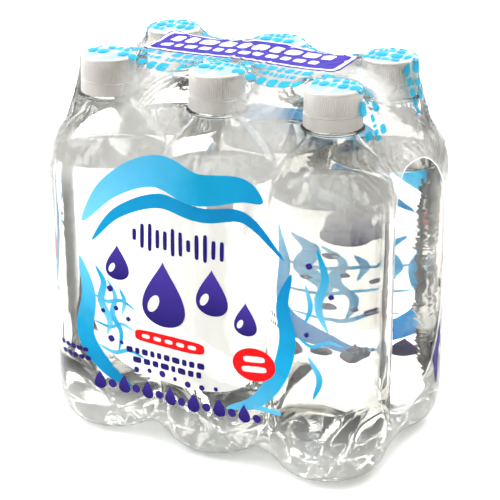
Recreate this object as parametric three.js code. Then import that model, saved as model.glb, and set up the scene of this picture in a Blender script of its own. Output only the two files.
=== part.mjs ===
// A shrink-wrapped pack of soda water: two rows of three clear bottles, their drink and
// caps, and one clear film sleeve round them with an oval opening at each end.
// Millimetres. X runs along the rows, the front face looks along -Y, +Z is up, and the
// origin is at the middle of the underside.
import * as THREE from 'three';

// Layout
const columns = 3;
const rows = 2;
const pitch = 67.6; // from one bottle's axis to the next, both ways
const columnNames = ['left', 'middle', 'right'];
const rowNames = ['front', 'back'];
const footTurn = [[-104, -106, -82], [-90, -72, -54]]; // degrees, where each bottle's first foot points

// Film sleeve
const filmThickness = 0.5;
const filmGap = 0.3; // between the film and what it wraps
const underLift = 0.3; // of the underside, away from the four points that the pack stands on
const openingHalfWidth = 36;
const openingLow = 38;
const openingHigh = 168;
const openingPower = 2.8; // 2 is an ellipse, more is squarer
const rimGap = 0.5; // how much further off the opening's rim stands

// Bottle, with heights counted from its feet
const bodyRadius = 33.3;
const wall = 0.6;
const feet = 5;
const baseHeight = 31; // where the feet run into the straight body
const padInner = 19.5; // the flat ring that the feet stand on
const padOuter = 23.8;
const baseMiddle = 7;
const shoulderStart = 143;
const neckRadius = 13.1;
const neckStart = 187;
const ringRadius = 16.5;
const ringLow = 189.7;
const ringHigh = 191.2;
const finishRadius = 12.4;
const boreRadius = 10.9;
const mouthHeight = 209.9;
const turnSteps = 20; // sides of a bottle, four to each foot

// Drink
const drinkLevel = 156.2;
const drinkGap = 0.3; // between the drink and the bottle's inner wall

// Cap
const capLow = 191.6;
const capBandHigh = 198.8;
const capHigh = 211.8;
const capRadius = 14.9;
const capBandRadius = 15.4;
const capEdge = 1.1;
const capWall = 1.3;
const capGap = 0.4; // between its wall and the bottle's support ring and neck
const capSteps = 16;

const standingHeight = filmThickness + underLift + filmGap;
const topHeight = standingHeight + capHigh;

// The film is a net of lines along the pack and round it, drawn tight over the bottles
const endLine = 9; // the last line across the pack, from its end
const capSpread = [-17.6, -15.2, -4.1, 4.1, 15.2, 17.6]; // lines across a cap, from its middle
const capSpreadEnd = 30; // from here out the lines are straight again
const sideLevels = [4, 14, 32, 90, 146, 162, 178, 195, topHeight];
const topLines = [63.5, 56.5, ...capSpread.map((offset) => pitch / 2 - offset)]; // from outside in
const underLines = [58.4, 24];
const endShares = [0, 0.5]; // lines on the end face, from the opening's rim out to its edge
const startGap = 1.5; // of the net from the bottles before it is drawn tight
const tightRounds = 300;
const longestStep = 4; // of a point of the net in one round
const leastFacing = 0.35; // cosine between the net's way out and a point's ray, at its least
const searchHalvings = 8;
const faceGap = 0.2; // the least between the bottles and the inside of a face of the film
const faceSamples = 8; // steps along a face's edge at which that gap is tried
const liftRounds = 24;

const clearPet = new THREE.MeshStandardMaterial({
  color: 0xe9f2f4, roughness: 0.06, metalness: 0, transparent: true, opacity: 0.35,
});
const sodaWater = new THREE.MeshStandardMaterial({
  color: 0xe2f1f6, roughness: 0.02, metalness: 0, transparent: true, opacity: 0.5,
});
const whitePlastic = new THREE.MeshStandardMaterial({ color: 0xf4f3f0, roughness: 0.42, metalness: 0 });
const clearFilm = new THREE.MeshStandardMaterial({
  color: 0xf1f4f5, roughness: 0.12, metalness: 0, transparent: true, opacity: 0.25,
});

// Outlines are lists of [radius, height]. The base has two: one down a foot and one down
// the valley between two feet, point for point.
const footOutline = [
  [0, baseMiddle], [padInner, 0], [padOuter, 0], [29.6, 5.6], [32.6, 15], [bodyRadius, baseHeight],
];
const valleyOutline = [
  [0, baseMiddle], [18, 11.2], [22.3, 14.2], [27, 18.8], [31, 24.6], [bodyRadius, baseHeight],
];
const shoulderOutline = [
  [bodyRadius, shoulderStart], [31.9, 158.3], [28.4, 167.6],
  [22.6, 175.4], [15.9, 182.4], [neckRadius, neckStart],
];
const ringOutline = [
  [neckRadius, ringLow], [ringRadius, ringLow], [ringRadius, ringHigh],
  [finishRadius, ringHigh], [finishRadius, mouthHeight],
];
const capOutline = [
  [capBandRadius, capLow], [capBandRadius, capBandHigh], [capRadius, capHigh - capEdge],
  [capRadius - capEdge, capHigh],
];

// Moves an outline inwards, off its own line, by a distance.
function inset(outline, distance) {
  return outline.map(([radius, height], i) => {
    const before = outline[Math.max(i - 1, 0)];
    const after = outline[Math.min(i + 1, outline.length - 1)];
    const along = new THREE.Vector2(after[0] - before[0], after[1] - before[1]).normalize();
    const onAxis = radius === 0;
    return [
      onAxis ? 0 : Math.max(radius - along.y * distance, 0),
      height + (onAxis ? 1 : along.x) * distance,
    ];
  });
}

// How much of a foot stands at an angle: 1 along its middle, 0 in a valley.
function footShare(angle) {
  const lobe = Math.abs(Math.cos((angle * feet) / 2));
  return THREE.MathUtils.smoothstep(lobe, 0, 0.85);
}

function mixOutlines(valley, foot, share) {
  return foot.map(([radius, height], i) => [
    THREE.MathUtils.lerp(valley[i][0], radius, share),
    THREE.MathUtils.lerp(valley[i][1], height, share),
  ]);
}

// Turns an outline about the upright axis. The outline may be a function of the angle. It
// runs up the outside, or down it with the faces then turned over.
function turned(outlineAt, steps, downwards = false) {
  const points = outlineAt(0).map(([radius, height]) => new THREE.Vector2(radius, height));
  const geometry = new THREE.LatheGeometry(points, steps);
  const places = geometry.attributes.position;
  for (let step = 0; step <= steps; step += 1) {
    const angle = (step / steps) * Math.PI * 2;
    outlineAt(angle).forEach(([radius, height], i) => {
      const at = step * points.length + i;
      places.setXYZ(at, radius * Math.cos(angle), height, -radius * Math.sin(angle));
    });
  }
  geometry.rotateX(Math.PI / 2); // the turning axis from Y to Z
  if (downwards) geometry.setIndex(Array.from(geometry.index.array).reverse());
  return geometry;
}

function baseAt(angle, depth) {
  return mixOutlines(inset(valleyOutline, depth), inset(footOutline, depth), footShare(angle));
}

function bottleOutline(angle) {
  const inner = [
    ...baseAt(angle, wall).slice(0, -1),
    ...inset([[bodyRadius, baseHeight], ...shoulderOutline], wall),
    [boreRadius, mouthHeight],
  ];
  return [...baseAt(angle, 0), ...shoulderOutline, ...ringOutline, ...inner.reverse()];
}

// The drink's outline runs down, as the bottle's inner wall does, so that their faces match.
function drinkOutline(angle) {
  const depth = wall + drinkGap;
  const [low, high, shoulder] = inset([[bodyRadius, baseHeight], ...shoulderOutline], depth);
  const share = (drinkLevel - high[1]) / (shoulder[1] - high[1]);
  const surfaceRadius = THREE.MathUtils.lerp(high[0], shoulder[0], share);
  return [
    [0, drinkLevel], [surfaceRadius, drinkLevel], high, low,
    ...baseAt(angle, depth).slice(0, -1).reverse(),
  ];
}

function cap() {
  const inside = capBandRadius - capWall - capGap;
  const outline = [
    [0, capHigh - capWall], [inside, capHigh - capWall], [inside, capLow], ...capOutline, [0, capHigh],
  ];
  return turned(() => outline, capSteps);
}

// The outline that the film meets round a bottle with its cap. It spans the base's hollows.
const wrappedOutline = [
  [0, 0], ...footOutline.slice(2), ...shoulderOutline, [neckRadius, ringLow], [ringRadius, ringLow],
  [ringRadius, ringHigh], ...capOutline, [0, capHigh],
];

const bottlePlaces = [];
for (let row = 0; row < rows; row += 1) {
  for (let column = 0; column < columns; column += 1) {
    bottlePlaces.push({
      name: `${rowNames[row]}_${columnNames[column]}`,
      x: (column - (columns - 1) / 2) * pitch,
      y: (row - (rows - 1) / 2) * pitch,
      turn: THREE.MathUtils.degToRad(footTurn[row][column]),
    });
  }
}

// Film. Its inner face is a net: each line of it runs along X from one end opening to the
// other, and the lines close round the pack. Every point of the net lies on a ray of its
// own, which leaves a flat core inside, so that the net can be drawn tight without tangling.
const coreHeight = topHeight / 2; // a flat rectangle, with a bottle's axis through each corner
const coreLength = ((columns - 1) / 2) * pitch;
const coreDepth = ((rows - 1) / 2) * pitch;
const halfLength = coreLength + bodyRadius + startGap;
const halfDepth = coreDepth + bodyRadius + startGap;
const underHeight = filmThickness + underLift; // of the film's inner face under the pack

function crossPlaces() {
  const places = [-halfLength, -halfLength + endLine];
  for (let column = 0; column < columns; column += 1) {
    const middle = (column - (columns - 1) / 2) * pitch;
    capSpread.forEach((offset) => places.push(middle + offset));
    if (column < columns - 1) places.push(middle + pitch / 2);
  }
  places.push(halfLength - endLine, halfLength);
  return places;
}

// One turn round the pack as [y, z], up the front, over the top, down the back.
function roundPlaces() {
  const half = [
    ...sideLevels.map((level) => [-halfDepth, level]),
    ...topLines.map((place) => [-place, topHeight]),
  ];
  const other = half.map(([y, z]) => [-y, z]).reverse();
  const under = underLines.map((place) => [place, underHeight]);
  return [
    ...half, [0, topHeight], ...other,
    ...under, ...under.map(([y, z]) => [-y, z]).reverse(),
  ];
}

// Bends the net's lines from squares to circles: round the outer quarter of each corner
// bottle, and on top round every cap, where they become straight again further out.
function bend(point) {
  bottlePlaces.forEach((place) => {
    const [offX, offY] = [point.x - place.x, point.y - place.y];
    const square = Math.max(Math.abs(offX), Math.abs(offY));
    const outside = offX * place.x > 0 && offY * place.y > 0;
    const onTop = point.z === topHeight;
    const nearCap = onTop ? 1 - THREE.MathUtils.smoothstep(square, capSpread.at(-1), capSpreadEnd) : 0;
    if (square === 0) return;
    const factor = THREE.MathUtils.lerp(1, square / Math.hypot(offX, offY), outside ? 1 : nearCap);
    point.set(place.x + offX * factor, place.y + offY * factor, point.z);
  });
  return point;
}

// A point on an end opening's rim, on the ray that leaves the opening's middle for [y, z].
function openingPoint(y, z) {
  const middle = (openingHigh + openingLow) / 2;
  const halfHeight = (openingHigh - openingLow) / 2;
  const reach = ((Math.abs(y) / openingHalfWidth) ** openingPower
    + (Math.abs(z - middle) / halfHeight) ** openingPower) ** (-1 / openingPower);
  return [y * reach, middle + (z - middle) * reach];
}

// How far out the bottles of the end column reach at a height.
function endReach(z) {
  const height = z - standingHeight;
  const outline = [[bodyRadius, baseHeight], ...shoulderOutline];
  const i = outline.findIndex(([, level]) => level > height);
  if (i < 1) return coreLength + bodyRadius;
  const share = (height - outline[i - 1][1]) / (outline[i][1] - outline[i - 1][1]);
  return coreLength + THREE.MathUtils.lerp(outline[i - 1][0], outline[i][0], share);
}

function startNet() {
  const across = crossPlaces();
  return roundPlaces().map(([y, z]) => {
    const [rimY, rimZ] = openingPoint(y, z);
    const rimX = endReach(rimZ) + filmGap + rimGap;
    const right = endShares.map((share) => new THREE.Vector3(
      THREE.MathUtils.lerp(rimX, halfLength, share),
      THREE.MathUtils.lerp(rimY, y, share),
      THREE.MathUtils.lerp(rimZ, z, share),
    ));
    const left = right.map((point) => new THREE.Vector3(-point.x, point.y, point.z));
    const middle = across.map((x) => new THREE.Vector3(x, y, z));
    return [...left, ...middle, ...right.toReversed()].map(bend);
  });
}

// The net's faces as triples of [line, place], cut from corner to corner alike on all sides.
function facesOf(net) {
  return net.flatMap((line, i) => line.slice(1).flatMap((point, j) => {
    const next = (i + 1) % net.length;
    const [a, b, c, d] = [[i, j], [i, j + 1], [next, j + 1], [next, j]];
    const inFront = net[i][j].y + net[next][j].y < 0;
    const onLeft = j < (line.length - 1) / 2;
    return inFront === onLeft ? [[a, b, c], [a, c, d]] : [[a, b, d], [b, c, d]];
  }));
}

// Makes the net alike on all four sides of its middle.
function evenOut(net) {
  const middleLine = sideLevels.length + topLines.length;
  const old = net.map((line) => line.map((point) => point.clone()));
  net.forEach((line, i) => line.forEach((point, j) => {
    const facing = old[(2 * middleLine - i + net.length) % net.length];
    const images = [old[i][j], facing[j], old[i].at(-1 - j), facing.at(-1 - j)];
    const side = new THREE.Vector3(Math.sign(point.x), Math.sign(point.y), 1);
    point.set(0, 0, 0);
    images.forEach(({ x, y, z }) => {
      point.add(new THREE.Vector3(Math.abs(x), Math.abs(y), z).multiplyScalar(1 / images.length));
    });
    point.multiply(side);
  }));
}

// How far a point lies out of an outline, less than zero inside it, and the way out.
function outOfOutline(outline, radius, height) {
  const nearest = { distance: Infinity, side: 0 };
  for (let i = 0; i + 1 < outline.length; i += 1) {
    const alongR = outline[i + 1][0] - outline[i][0];
    const alongZ = outline[i + 1][1] - outline[i][1];
    const length = Math.hypot(alongR, alongZ);
    const share = THREE.MathUtils.clamp(
      ((radius - outline[i][0]) * alongR + (height - outline[i][1]) * alongZ) / length ** 2, 0, 1);
    const offR = radius - outline[i][0] - share * alongR;
    const offZ = height - outline[i][1] - share * alongZ;
    const distance = Math.hypot(offR, offZ);
    const side = (offR * alongZ - offZ * alongR) / length;
    const closer = distance < nearest.distance - 1e-9;
    const asClose = distance < nearest.distance + 1e-9 && Math.abs(side) > Math.abs(nearest.side);
    if (closer || asClose) Object.assign(nearest, { distance, side, offR, offZ });
  }
  const out = Math.sign(nearest.side) * nearest.distance;
  const scale = out === 0 ? 0 : 1 / out;
  return { out, wayR: nearest.offR * scale, wayZ: nearest.offZ * scale };
}

// How far a point is from the nearest bottle's outline, and the way out there.
function clearanceOf(point) {
  let nearest = { out: filmGap };
  bottlePlaces.forEach((place) => {
    const dx = point.x - place.x;
    const dy = point.y - place.y;
    const radius = Math.hypot(dx, dy);
    if (radius > bodyRadius + filmGap) return;
    const found = outOfOutline(wrappedOutline, radius, point.z - standingHeight);
    if (found.out >= nearest.out) return;
    const way = new THREE.Vector3(dx, dy, 0).multiplyScalar(found.wayR / Math.max(radius, 1e-6));
    nearest = { out: found.out, way: way.setZ(found.wayZ) };
  });
  return nearest;
}

// The ray of a point of the net, and the least reach at which it clears the bottles.
function rayTo(point) {
  const from = new THREE.Vector3(
    THREE.MathUtils.clamp(point.x, -coreLength, coreLength),
    THREE.MathUtils.clamp(point.y, -coreDepth, coreDepth),
    coreHeight,
  );
  const way = point.clone().sub(from);
  const reach = way.length() + startGap;
  way.normalize();
  const at = (distance) => from.clone().addScaledVector(way, distance);
  let blocked = reach;
  while (blocked > 1 && clearanceOf(at(blocked)).out >= filmGap) blocked -= 1;
  let clear = blocked + 1;
  for (let half = 0; half < searchHalvings; half += 1) {
    const middle = (clear + blocked) / 2;
    if (clearanceOf(at(middle)).out >= filmGap) clear = middle;
    else blocked = middle;
  }
  return { at, way, least: clear };
}

// Draws the net tight over the bottles: each point goes in along its ray towards the
// mean of its neighbours, the nearer at the start the stronger, until it touches.
function drawTight(net, rays) {
  const start = net.map((line) => line.map((point) => point.clone()));
  const count = net.length;
  for (let round = 0; round < tightRounds; round += 1) {
    for (let i = 0; i < count; i += 1) {
      for (let j = 1; j + 1 < net[i].length; j += 1) {
        const pull = new THREE.Vector3();
        let total = 0;
        const around = [[(i + count - 1) % count, j], [(i + 1) % count, j], [i, j - 1], [i, j + 1]];
        around.forEach(([a, b]) => {
          const strength = 1 / Math.max(start[i][j].distanceTo(start[a][b]), 1);
          pull.addScaledVector(net[a][b], strength);
          total += strength;
        });
        pull.divideScalar(total).sub(net[i][j]);
        const [before, after, left, right] = around.map(([a, b]) => net[a][b]);
        const normal = right.clone().sub(left).cross(after.clone().sub(before)).normalize();
        const ray = rays[i][j];
        const facing = Math.max(normal.dot(ray.way), leastFacing);
        const step = THREE.MathUtils.clamp(pull.dot(normal) / facing, -longestStep, longestStep);
        ray.reach = Math.max(ray.reach + step, ray.least);
        net[i][j].copy(ray.at(ray.reach));
        net[i][j].z = Math.max(net[i][j].z, underHeight);
      }
    }
  }
}

// Moves the corners of each face out of the bottles until its inside is clear too. Each
// corner takes the share of the move that it has of the sample that isn't clear.
function liftFaces(net) {
  const samples = [];
  for (let s = 0; s <= faceSamples; s += 1) {
    for (let t = 0; s + t <= faceSamples; t += 1) {
      samples.push([faceSamples - s - t, s, t].map((part) => part / faceSamples));
    }
  }
  const faces = facesOf(net);
  for (let round = 0; round < liftRounds; round += 1) {
    faces.forEach((face) => {
      const points = face.map(([i, j]) => net[i][j]);
      const lifts = points.map(() => ({ amount: 0 }));
      samples.forEach((parts) => {
        const sample = new THREE.Vector3();
        points.forEach((point, corner) => sample.addScaledVector(point, parts[corner]));
        const { out, way } = clearanceOf(sample);
        if (out >= faceGap) return;
        const square = parts.reduce((sum, part) => sum + part * part, 0);
        parts.forEach((part, corner) => {
          const amount = ((faceGap - out) * part) / square;
          if (amount > lifts[corner].amount) lifts[corner] = { amount, way };
        });
      });
      points.forEach((point, corner) => {
        const { amount, way } = lifts[corner];
        if (amount > 0) point.addScaledVector(way, amount);
        point.z = Math.max(point.z, underHeight);
      });
    });
    evenOut(net);
  }
}

// Lowers the points of the net under the four outermost feet to the ground.
function standOnCorners(net) {
  const reach = padOuter * Math.SQRT1_2;
  bottlePlaces.filter((place) => place.x !== 0).forEach((place) => {
    const foot = new THREE.Vector3(
      place.x + Math.sign(place.x) * reach, place.y + Math.sign(place.y) * reach, underHeight);
    const nearest = net.flat().reduce((best, point) => (
      point.distanceTo(foot) < best.distanceTo(foot) ? point : best));
    nearest.z = filmThickness;
  });
}

// Gives the net its thickness: an inner face, an outer face and a strip round each opening.
function film() {
  const net = startNet();
  const rays = net.map((line) => line.map(rayTo));
  net.forEach((line, i) => line.forEach((point, j) => {
    const ray = rays[i][j];
    const from = ray.at(0);
    ray.reach = Math.max(point.distanceTo(from), ray.least);
    point.copy(ray.at(ray.reach));
    point.z = Math.max(point.z, underHeight);
  }));
  drawTight(net, rays);
  evenOut(net);
  liftFaces(net);
  standOnCorners(net);
  const count = net.length;
  const across = net[0].length;
  const places = net.flat().flatMap((point) => [point.x, point.y, point.z]);
  const faces = facesOf(net).flat().map(([i, j]) => i * across + j);
  const sheet = new THREE.BufferGeometry();
  sheet.setAttribute('position', new THREE.Float32BufferAttribute(places, 3));
  sheet.setIndex(faces);
  sheet.computeVertexNormals();
  const total = count * across;
  const outer = [];
  for (let at = 0; at < total; at += 1) {
    for (let axis = 0; axis < 3; axis += 1) {
      outer.push(places[at * 3 + axis] + sheet.attributes.normal.array[at * 3 + axis] * filmThickness);
    }
  }
  const shell = [];
  for (let f = 0; f < faces.length; f += 3) {
    const [a, b, c] = faces.slice(f, f + 3);
    shell.push(total + a, total + b, total + c, a, c, b);
  }
  for (let i = 0; i < count; i += 1) {
    const next = (i + 1) % count;
    const rims = [[i * across, next * across], [next * across + across - 1, i * across + across - 1]];
    rims.forEach(([a, b]) => {
      shell.push(total + a, total + b, b, total + a, b, a);
    });
  }
  const geometry = new THREE.BufferGeometry();
  geometry.setAttribute('position', new THREE.Float32BufferAttribute([...places, ...outer], 3));
  geometry.setIndex(shell);
  return geometry;
}

const pack = new THREE.Group();

function addPiece(name, geometry, material, group) {
  const mesh = new THREE.Mesh(geometry, material);
  mesh.name = name;
  group.add(mesh);
}

bottlePlaces.forEach((place) => {
  const group = new THREE.Group();
  group.position.set(place.x, place.y, standingHeight);
  const turn = new THREE.Group();
  turn.rotation.z = place.turn;
  addPiece(`bottle_${place.name}`, turned(bottleOutline, turnSteps), clearPet, turn);
  addPiece(`drink_${place.name}`, turned(drinkOutline, turnSteps, true), sodaWater, turn);
  addPiece(`cap_${place.name}`, cap(), whitePlastic, group);
  group.add(turn);
  pack.add(group);
});
addPiece('film', film(), clearFilm, pack);

export default pack;
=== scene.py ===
import math
import random

import bmesh
import bpy
import numpy as np
from mathutils import Matrix, Vector, noise
from mathutils.bvhtree import BVHTree


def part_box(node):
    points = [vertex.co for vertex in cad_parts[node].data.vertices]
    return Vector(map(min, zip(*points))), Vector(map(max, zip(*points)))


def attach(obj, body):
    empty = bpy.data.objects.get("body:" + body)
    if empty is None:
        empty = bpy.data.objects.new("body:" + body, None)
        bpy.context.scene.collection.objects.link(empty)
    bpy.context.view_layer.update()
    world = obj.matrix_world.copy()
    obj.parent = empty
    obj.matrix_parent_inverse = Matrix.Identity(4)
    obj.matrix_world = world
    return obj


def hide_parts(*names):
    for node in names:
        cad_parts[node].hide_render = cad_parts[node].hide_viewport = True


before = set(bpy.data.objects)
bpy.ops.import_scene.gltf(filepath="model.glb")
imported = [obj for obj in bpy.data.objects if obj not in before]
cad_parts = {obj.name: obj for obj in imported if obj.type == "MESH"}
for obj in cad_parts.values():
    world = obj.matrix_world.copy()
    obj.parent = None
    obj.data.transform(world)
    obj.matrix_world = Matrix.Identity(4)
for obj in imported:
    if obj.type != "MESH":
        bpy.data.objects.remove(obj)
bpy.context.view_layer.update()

# A shrink-wrapped pack of soda water: six clear bottles in two rows inside one printed film
# sleeve. Shapes are worked out in millimetres, and a finished mesh is then made metres.

millimetre = 0.001
tiny = 1e-9  # keeps a division off nought
places = ["front_left", "front_middle", "front_right", "back_left", "back_middle", "back_right"]
dice = random.Random(7)


def nodeBox(node):
    low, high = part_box(node)
    return Vector(low) / millimetre, Vector(high) / millimetre


def axisOf(place):
    low, high = nodeBox("cap_" + place)
    return (low.x + high.x) / 2, (low.y + high.y) / 2


# the bottles' axes, and the heights that the pieces share
axes = {place: axisOf(place) for place in places}
coreLength, coreDepth = axes["back_right"]
standing = nodeBox("bottle_back_left")[0].z
capTop = nodeBox("cap_back_left")[1].z
drinkTop = nodeBox("drink_back_left")[1].z


def toLinear(hexColour):
    parts = [int(hexColour[i:i + 2], 16) / 255 for i in (1, 3, 5)]
    return (*[c / 12.92 if c <= 0.04045 else ((c + 0.055) / 1.055) ** 2.4 for c in parts], 1.0)


def addNode(tree, kind, inputs=None, stops=(), **settings):
    # inputs are values or the sockets to link from, and stops are a colour ramp's
    node = tree.nodes.new(kind)
    for name, value in settings.items():
        setattr(node, name, value)
    for name, value in (inputs or {}).items():
        if isinstance(value, bpy.types.NodeSocket):
            tree.links.new(value, node.inputs[name])
        else:
            node.inputs[name].default_value = value
    if stops:
        elements = node.color_ramp.elements
        while len(elements) < len(stops):
            elements.new(0.5)
        for element, (place, colour) in zip(elements, stops):
            element.position, element.color = place, toLinear(colour)
    return node


def newMaterial(name):
    material = bpy.data.materials.new(name)
    material.use_nodes = True
    material.node_tree.nodes.clear()
    return material, material.node_tree


def grainOf(tree, grain, stretch=(1, 1, 1), detail=2.0):
    # noise whose grain is a size in millimetres, on Object coordinates
    where = addNode(tree, "ShaderNodeTexCoord").outputs["Object"]
    turned = addNode(tree, "ShaderNodeMapping", {"Vector": where, "Scale": stretch})
    return addNode(tree, "ShaderNodeTexNoise", {
        "Vector": turned.outputs["Vector"], "Scale": 1 / (grain * millimetre), "Detail": detail,
    }).outputs["Fac"]


def mottled(tree, grain, light, deep):
    # a colour that drifts between two tones over a grain in millimetres
    return addNode(tree, "ShaderNodeValToRGB", {"Fac": grainOf(tree, grain)},
                   stops=[(0.3, light), (0.7, deep)]).outputs["Color"]


def putInScene(name, data):
    item = bpy.data.objects.new(name, data)
    bpy.context.scene.collection.objects.link(item)
    return item


def finishPiece(name, shape, *materials):
    # a shape in millimetres becomes a piece in metres, with its place in its mesh
    bmesh.ops.scale(shape, vec=(millimetre,) * 3, verts=shape.verts)
    mesh = bpy.data.meshes.new(name)
    shape.to_mesh(mesh)
    shape.free()
    for polygon in mesh.polygons:
        polygon.use_smooth = True
    for material in materials:
        mesh.materials.append(material)
    piece = putInScene(name, mesh)
    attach(piece, "root")
    return piece


def smoothstep(low, high, value):
    t = np.clip((value - low) / (high - low), 0, 1)
    return t * t * (3 - 2 * t)


def within(value, rise, fall):
    # nought, then full from the end of the rise to the start of the fall, then nought again
    return smoothstep(*rise, value) * (1 - smoothstep(*fall, value))


def curveThrough(points, perSpan):
    points = [Vector(p) for p in points]
    padded = [2 * points[0] - points[1], *points, 2 * points[-1] - points[-2]]
    line = []
    for i in range(1, len(padded) - 2):
        a, b, c, d = padded[i - 1:i + 3]
        for step in range(perSpan):
            t = step / perSpan
            line.append(0.5 * (2 * b + (c - a) * t + (2 * a - 5 * b + 4 * c - d) * t ** 2
                               + (3 * b - a - 3 * c + d) * t ** 3))
    return line + [points[-1]]


def spinOutline(outline, steps):
    # each point of the outline is radius, height and a tag that its turned copies keep
    shape = bmesh.new()
    tag = shape.verts.layers.float.new("along")
    verts = []
    for radius, height, along in outline:
        vert = shape.verts.new((max(radius, 0), 0, height))
        vert[tag] = along
        verts.append(vert)
    edges = [shape.edges.new(pair) for pair in zip(verts, verts[1:])]
    bmesh.ops.spin(shape, geom=verts + edges, cent=(0, 0, 0), axis=(0, 0, 1),
                   angle=math.tau, steps=steps, use_merge=True)
    bmesh.ops.remove_doubles(shape, verts=shape.verts, dist=0.001)
    bmesh.ops.recalc_face_normals(shape, faces=shape.faces)
    return shape, tag


# Camera, at the photograph's viewing angle. The sizes are millimetres.
view = {
    "place": (439.37, -788.22, 452.41),
    "azimuth": 29.11,
    "elevation": 21.31,
    "roll": -0.17,
    "lens": 124.57,
    "sensor": 36.0,
    "clip": (0.05, 20),  # metres
}


def addCamera():
    azimuth, elevation, roll = (math.radians(view[k]) for k in ("azimuth", "elevation", "roll"))
    back = Vector((math.sin(azimuth) * math.cos(elevation), -math.cos(azimuth) * math.cos(elevation),
                   math.sin(elevation)))
    level = Vector((math.cos(azimuth), math.sin(azimuth), 0))
    up = back.cross(level)
    right = level * math.cos(roll) + up * math.sin(roll)
    up = back.cross(right)
    data = bpy.data.cameras.new("camera")
    data.lens = view["lens"]
    data.sensor_width = view["sensor"]
    data.clip_start, data.clip_end = view["clip"]
    camera = putInScene("camera", data)
    turn = Matrix((right, up, back)).transposed().to_4x4()
    camera.matrix_world = Matrix.Translation(Vector(view["place"]) * millimetre) @ turn
    bpy.context.scene.camera = camera


addCamera()
print("camera set")

# Bottles
bottle = {
    "steps": 120,
    "spanSteps": 5,  # from one place of a line to the next
    "wall": 0.6,
    "feet": 5,
    "footFull": 0.9,  # a foot is full where its cosine passes this
    "slopeStep": 0.02,  # along the base, to find its slope
    # down a foot and down the valley between two feet, from the middle outwards
    "foot": [(0, 7), (7, 5.9), (14, 2.6), (18.2, 0.55), (21.6, 0), (24.4, 0.75), (27.6, 3.3),
             (30.2, 7), (32, 12), (32.9, 18.5), (33.25, 25), (33.3, 31)],
    "valley": [(0, 7), (7, 7.6), (13, 9.4), (17, 11.3), (20.4, 13), (23.2, 14.9), (25.8, 17.2),
               (28.2, 19.9), (30.2, 22.6), (31.9, 25.4), (32.9, 28.2), (33.3, 31)],
    "shoulder": [(33.3, 143), (33.1, 150), (32.4, 155.2), (30.8, 162.2), (28.5, 167.4),
                 (24.2, 173.6), (19.2, 178.8), (15.2, 183.2), (13.2, 186.2), (12.9, 188.4)],
    "ring": [(13.2, 189.4), (14.2, 189.8), (16.1, 189.8), (16.5, 190.2), (16.5, 190.9),
             (16.1, 191.3), (12.6, 191.3)],
    "finish": 12.4,
    "bore": 10.9,
    "mouth": 209.9,
    "lip": 0.5,
    "heart": 70,  # height of a point that only the wall's inner faces look towards
    "turn": {"front_left": -104, "front_middle": -106, "front_right": -82,
             "back_left": -90, "back_middle": -72, "back_right": -54},
}
footLine, valleyLine, shoulderLine = (
    curveThrough(bottle[line], bottle["spanSteps"]) for line in ("foot", "valley", "shoulder"))


def pointAlong(line, along):
    # a place on a line, for 0 at its start to 1 at its end
    along = min(max(along, 0), 1) * (len(line) - 1)
    i = min(int(along), len(line) - 2)
    return line[i].lerp(line[i + 1], along - i)


def basePoint(along, angle, depth):
    # a point of the base at an angle, moved in off the surface by a depth
    share = float(smoothstep(0, bottle["footFull"], abs(math.cos(angle * bottle["feet"] / 2))))
    near = bottle["slopeStep"]

    def surface(at):
        return pointAlong(valleyLine, at).lerp(pointAlong(footLine, at), share)

    here = surface(along)
    way = (surface(along + near) - surface(along - near)).normalized()
    return max(here.x - way.y * depth, 0), here.y + way.x * depth


def inset(line, depth):
    # a line moved to its left by a depth
    moved = []
    for i, here in enumerate(line):
        way = (line[min(i + 1, len(line) - 1)] - line[max(i - 1, 0)]).normalized()
        moved.append(Vector((here.x - way.y * depth, here.y + way.x * depth)))
    return moved


# A point of the base is tagged with how far along the foot it lies, from 0 to 1 outside and
# from 2 to 3 inside. Other points have a tag of their own.
sideTag, innerTag = -1, 2


def baseLine(depth):
    # the foot's line, moved in by a depth
    start, last = innerTag if depth else 0, len(footLine) - 1
    return [(*point, start + i / last) for i, point in enumerate(inset(footLine, depth))]


def bendBase(shape, tag, innerDepth):
    # the round base takes the form of its feet and valleys
    for vert in shape.verts:
        if vert[tag] == sideTag:
            continue
        onInside = vert[tag] >= innerTag
        angle = math.atan2(vert.co.y, vert.co.x)
        along = vert[tag] - innerTag if onInside else vert[tag]
        radius, height = basePoint(along, angle, innerDepth if onInside else 0)
        vert.co = (radius * math.cos(angle), radius * math.sin(angle), height)


def standUp(shape, place):
    turn = Matrix.Rotation(math.radians(bottle["turn"][place]), 3, "Z")
    bmesh.ops.rotate(shape, verts=shape.verts, cent=(0, 0, 0), matrix=turn)
    bmesh.ops.translate(shape, verts=shape.verts, vec=(*axes[place], standing))


def buildBottle(place, materials):
    lip, mouth, finish, bore = (bottle[key] for key in ("lip", "mouth", "finish", "bore"))
    outside = shoulderLine + bottle["ring"] + [
        (finish, mouth - lip), (finish - lip, mouth), (bore + lip, mouth), (bore, mouth - lip),
        (bore, bottle["ring"][0][1])]
    inside = inset(shoulderLine, bottle["wall"])[::-1]
    sides = [(*point, sideTag) for point in outside + inside]
    outline = baseLine(0) + sides + baseLine(bottle["wall"])[::-1]
    shape, tag = spinOutline(outline, bottle["steps"])
    bendBase(shape, tag, bottle["wall"])
    shape.normal_update()
    # below the drink's level the wall and the drink bend light as one body
    for face in shape.faces:
        centre = face.calc_center_median()
        if centre.z < drinkTop - standing:
            outer = face.normal.dot(centre - Vector((0, 0, bottle["heart"]))) > 0
            face.material_index = 1 if outer else 2
    standUp(shape, place)
    piece = finishPiece("bottle_" + place + "_blown", shape, *materials)
    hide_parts("bottle_" + place)


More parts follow.
